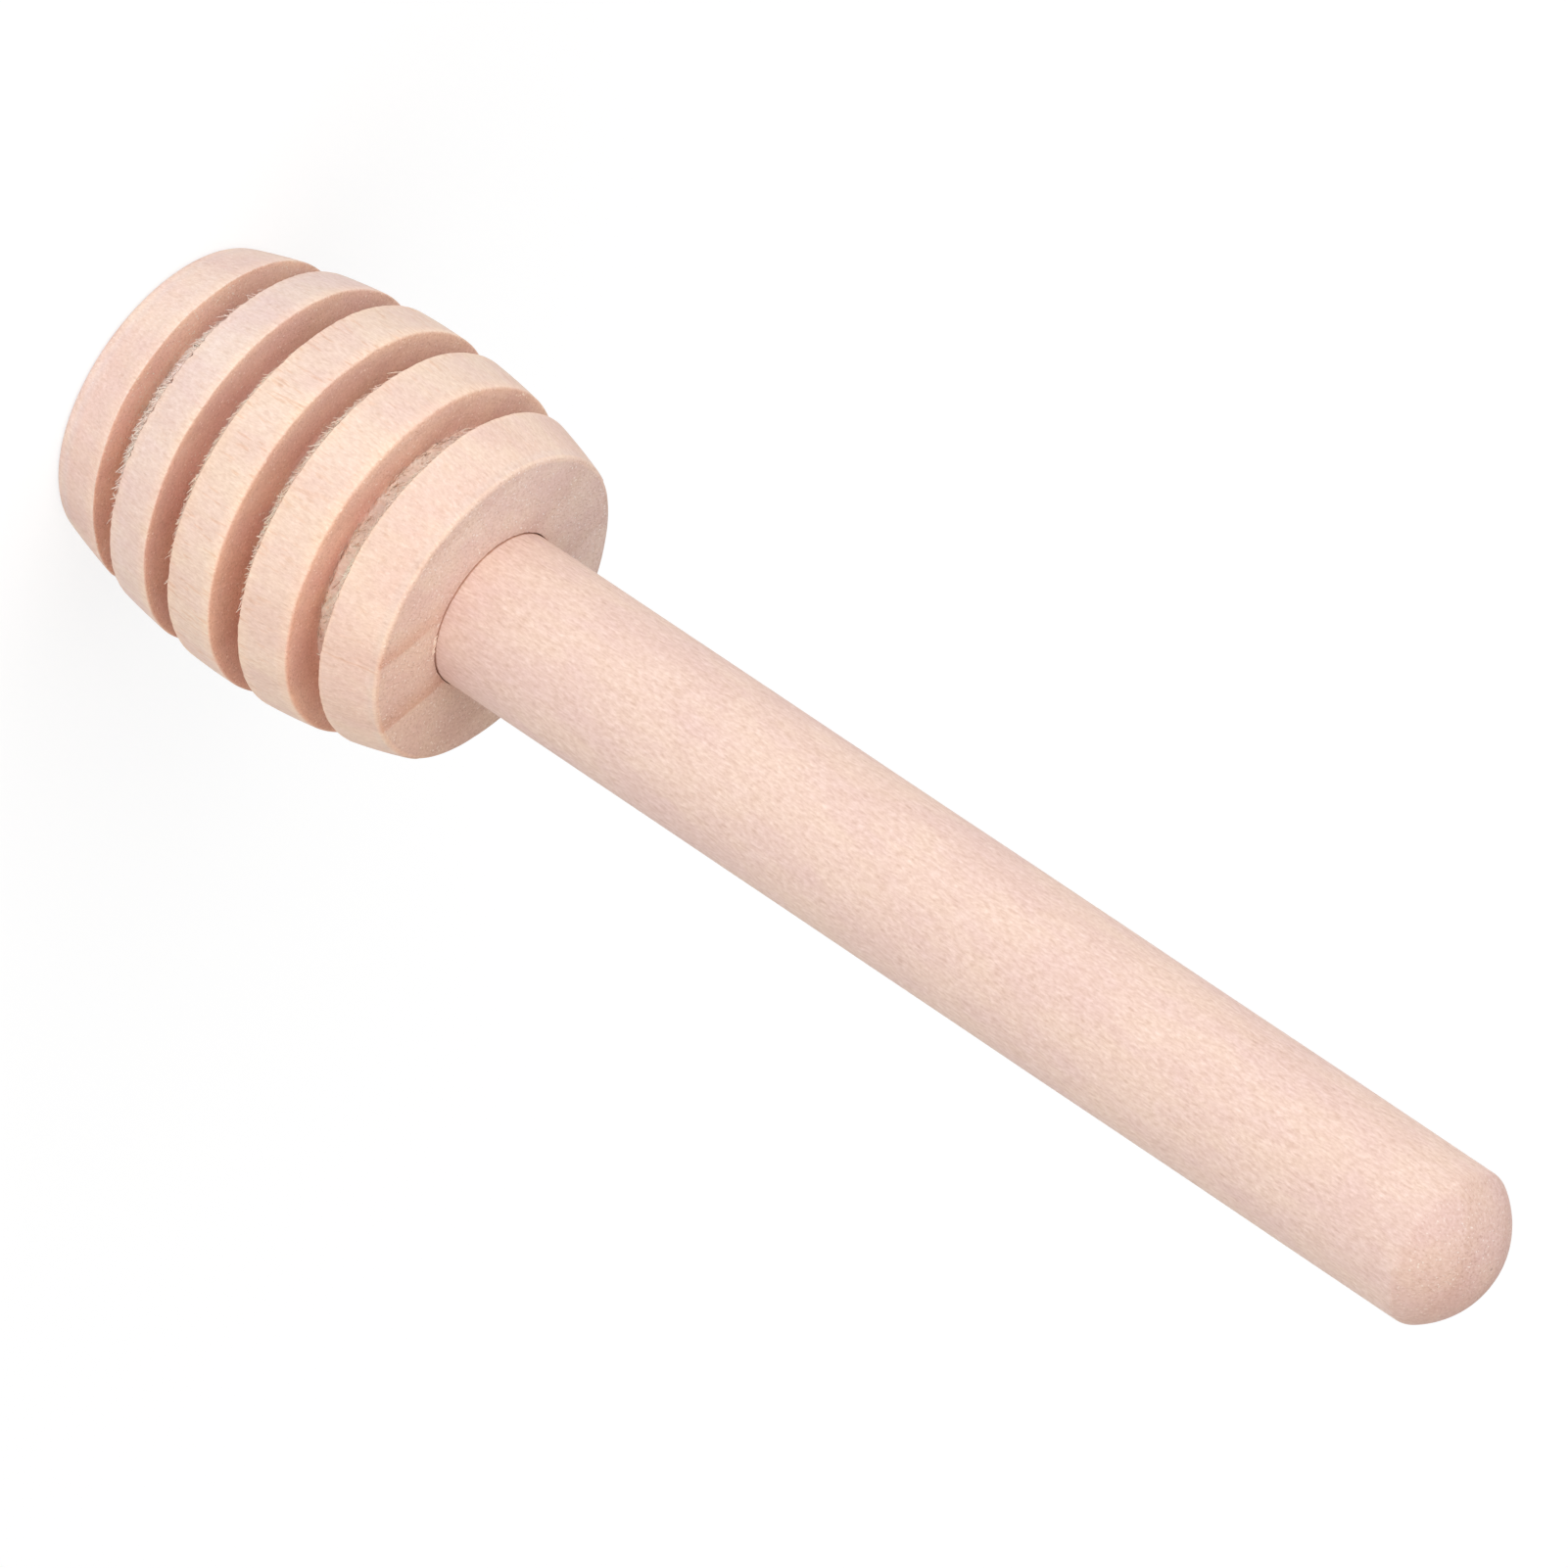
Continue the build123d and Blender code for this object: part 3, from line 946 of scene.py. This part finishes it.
handle_section = stations(handle_corners())[0]
handle_grid = (len(handle_section), HANDLE_COLUMNS)
waviness = DOWEL_WAVINESS * np.abs(drift(handle_grid, rows=6, columns=20, seed=7))
handle = turned(
    "handle_turned",
    handle_section[:, :1] - waviness * (handle_section[:, :1] > 1),
    np.repeat(handle_section[:, 1:], HANDLE_COLUMNS, axis=1),
    {"end_grain": end_grain_share(handle_section)[:, None]},
)

DOWEL_CREAM = (0.848, 0.628, 0.531, 1)
DOWEL_ROSE = (0.820, 0.594, 0.524, 1)
DOWEL_PITH = (9.0, 12.0, 0.0)
DOME_TAN = (0.885, 0.82, 0.83, 1)
DOME_PINK = (0.86, 0.755, 0.72, 1)
DOME_NEAR_PAINTED_SHADE = (0.88, 0.89, 0.89, 1)
DOME_FAR_PAINTED_LIGHT = (1.04, 1.06, 1.06, 1)

dowel_wood, tree, shader, figure = beech_material(
    "sanded beech dowel", DOWEL_PITH, turn=(0.01, -0.012, 2.1), cream=DOWEL_CREAM, rose=DOWEL_ROSE,
    ring_spacing=2.6, streaks=0.25, specks=0.34,
)
whole, (across, deep, up_grain) = object_place(tree)
dome_tint = blend_colour(tree, ramp(tree, across, -1.5, 2.5), DOME_TAN, DOME_PINK)
# Painted shade on the dome's near side and painted light on its far side
dome_painted_shade = blend_colour(tree, ramp(tree, deep, -3.2, 1.5), DOME_NEAR_PAINTED_SHADE, DOME_FAR_PAINTED_LIGHT)
dome_tint = tinted(tree, dome_tint, dome_painted_shade)
colour = tinted(tree, figure["Colour"], dome_tint, mask(tree, "end_grain"))

# A thin brown line darkens the dowel round its foot, at the face, broken here and there
FOOT_LINE = (head_top - 0.04, head_top + 0.02)
FOOT_LINE_SWAY = 0.10
FOOT_LINE_TINT = (0.70, 0.53, 0.45, 1)

foot_sway = sums(tree, "MULTIPLY", noise(tree, whole, (1.6, 1.6, 1.6), 3.0), -FOOT_LINE_SWAY)
foot = fall(tree, sums(tree, "ADD", up_grain, foot_sway), *FOOT_LINE)
colour = tinted(tree, colour, FOOT_LINE_TINT, foot)

# The lathe's centre left a small dark dot in the dome
DOT_PLACE = (-0.3, 0.1, dowel_top)
DOT_RADIUS = (0.05, 0.13)
DOT_TINT = (0.72, 0.70, 0.70, 1)

from_dot = measure(tree, "DISTANCE", whole, DOT_PLACE)
colour = tinted(tree, colour, DOT_TINT, fall(tree, from_dot, *DOT_RADIUS))
finish_wood(tree, shader, colour, figure["Roughness"], figure["Relief"])
handle.data.materials.append(dowel_wood)
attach(handle, "root")
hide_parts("handle")


# The glue: a thin film of wood glue that was pressed round the dowel's hidden end and dried there, clear
# brown and slightly uneven. It keeps its own solid.

GLUE_LIGHT = (0.66, 0.48, 0.26, 1)
GLUE_DARK = (0.50, 0.33, 0.16, 1)
GLUE_ROUGH = (0.25, 0.5)
GLUE_RELIEF = 0.03

glue, tree, shader = new_material("dried wood glue")
flow = noise(tree, mapped_place(tree), (0.8, 0.8, 0.5), 4.0)
glue_colour = blend_colour(tree, ramp(tree, flow, 0.35, 0.65), GLUE_LIGHT, GLUE_DARK)
tree.links.new(glue_colour, shader.inputs["Base Color"])
tree.links.new(ramp(tree, flow, 0.3, 0.7, *GLUE_ROUGH), shader.inputs["Roughness"])
tree.links.new(bumps(tree, flow, GLUE_RELIEF), shader.inputs["Normal"])
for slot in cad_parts["glue_film"].material_slots:
    slot.material = glue


# The table and the room: a white table in a white room that lights the dipper from the camera's side and
# not from behind. Both look white in the picture, whatever light they throw on the wood.

TABLE_REACH = 4.0
TABLE_DROP = 0.00002
TABLE_WHITE = (0.9, 0.9, 0.9, 1)
PICTURED_WHITE = (0.278, 0.278, 0.278, 1)
PICTURED_GLOW = 0.76
NEAR_ROOM_LIGHT = 1.08
FAR_ROOM_LIGHT = 0.0
FAR_WALL_WAY = (0.0, 0.89, -0.46)
WALL_SOFT = 0.3
PURE_WHITE = (1, 1, 1, 1)

table_mesh = bpy.data.meshes.new("table")
table_mesh.from_pydata(
    [(x * TABLE_REACH, y * TABLE_REACH, -TABLE_DROP) for x, y in ((-1, -1), (1, -1), (1, 1), (-1, 1))],
    [], [(0, 1, 2, 3)],
)
table = bpy.data.objects.new("table", table_mesh)
bpy.context.scene.collection.objects.link(table)
table_paint, tree, _ = new_material("white table")
tree.nodes.clear()


def pictured(tree):
    """1 on the rays that the picture is seen by, straight, mirrored or through glass, and 0 on the others."""
    rays = join(tree, "ShaderNodeLightPath").node.outputs
    indirect = sums(tree, "MAXIMUM", rays["Is Glossy Ray"], rays["Is Transmission Ray"])
    return sums(tree, "MAXIMUM", rays["Is Camera Ray"], indirect)


board = join(tree, "ShaderNodeBsdfDiffuse", ("Color", TABLE_WHITE))
pictured_board = join(tree, "ShaderNodeBsdfDiffuse", ("Color", PICTURED_WHITE))
glow = join(tree, "ShaderNodeEmission", ("Color", PURE_WHITE), ("Strength", PICTURED_GLOW))
pictured_board = join(tree, "ShaderNodeAddShader", (0, pictured_board), (1, glow))
paint = join(tree, "ShaderNodeMixShader", (0, pictured(tree)), (1, board), (2, pictured_board))
tree.links.new(paint, tree.nodes.new("ShaderNodeOutputMaterial").inputs["Surface"])
table_mesh.materials.append(table_paint)

room = bpy.data.worlds.new("white room")
bpy.context.scene.world = room
room.use_nodes = True
tree = room.node_tree
tree.nodes.clear()
way = join(tree, "ShaderNodeTexCoord").node.outputs["Generated"]
facing = measure(tree, "DOT_PRODUCT", way, FAR_WALL_WAY)
light = ramp(tree, facing, -WALL_SOFT, WALL_SOFT, NEAR_ROOM_LIGHT, FAR_ROOM_LIGHT)
strength = join(tree, "ShaderNodeMapRange", ("Value", pictured(tree)), ("To Min", light), ("To Max", 1.0))
sky = join(tree, "ShaderNodeBackground", ("Color", PURE_WHITE), ("Strength", strength))
tree.links.new(sky, tree.nodes.new("ShaderNodeOutputWorld").inputs["Surface"])


# The camera: a long lens above the head's side, rolled so that the dipper lies across the picture with its
# handle coming down to the right. Its place is given from the middle of the head's face.

ELEVATION = math.radians(27.577)
ROLL = math.radians(123.823)
LENS = 676.12
SENSOR = 36
NEAREST = 0.1
FARTHEST = 100
DISTANCE = 1.3574
FACE_RIGHT = -0.0133451
FACE_UP = 0.0080602

back = np.array([0, -math.cos(ELEVATION), math.sin(ELEVATION)])
level_up = np.array([0, math.sin(ELEVATION), math.cos(ELEVATION)])
level_right = np.array([1.0, 0, 0])
right = math.cos(ROLL) * level_right + math.sin(ROLL) * level_up
up = -math.sin(ROLL) * level_right + math.cos(ROLL) * level_up


def set_up(thing, x_way, y_way, z_way, place):
    """Puts an object into the scene at a place, with its own x, y and z along three unit vectors."""
    columns = np.stack([x_way, y_way, z_way, place], axis=1)
    thing.matrix_world = Matrix([*columns.tolist(), [0, 0, 0, 1]])
    bpy.context.scene.collection.objects.link(thing)


lens = bpy.data.cameras.new("camera")
lens.lens = LENS
lens.sensor_width = SENSOR
lens.clip_start = NEAREST
lens.clip_end = FARTHEST
camera = bpy.data.objects.new("camera", lens)
face_middle = np.array([0, 0, head_top * MM])
set_up(camera, right, up, back, face_middle - FACE_RIGHT * right - FACE_UP * up + DISTANCE * back)
bpy.context.scene.camera = camera


# The lamp: one soft square lamp above the camera and to its left, turned to the middle of the dipper. It is
# not in the picture itself.

LAMP_POWER = 5.83
LAMP_DISTANCE = 1.5
LAMP_SIZE = 0.9
LAMP_LEFT = 0.55
LAMP_RISE = 0.25
LAMP_AIM = np.array([0, 0, 0.04])

upright = np.array([0, 0, 1.0])
lamp_way = back - LAMP_LEFT * level_right + LAMP_RISE * upright
lamp_way /= np.linalg.norm(lamp_way)
lamp_right = np.cross(upright, lamp_way)
lamp_right /= np.linalg.norm(lamp_right)
shine = bpy.data.lights.new("soft lamp", "AREA")
shine.energy = LAMP_POWER
shine.size = LAMP_SIZE
lamp = bpy.data.objects.new("soft lamp", shine)
set_up(lamp, lamp_right, np.cross(lamp_way, lamp_right), lamp_way, lamp_way * LAMP_DISTANCE + LAMP_AIM)
lamp.visible_camera = False

bpy.context.scene.view_settings.view_transform = "Standard"
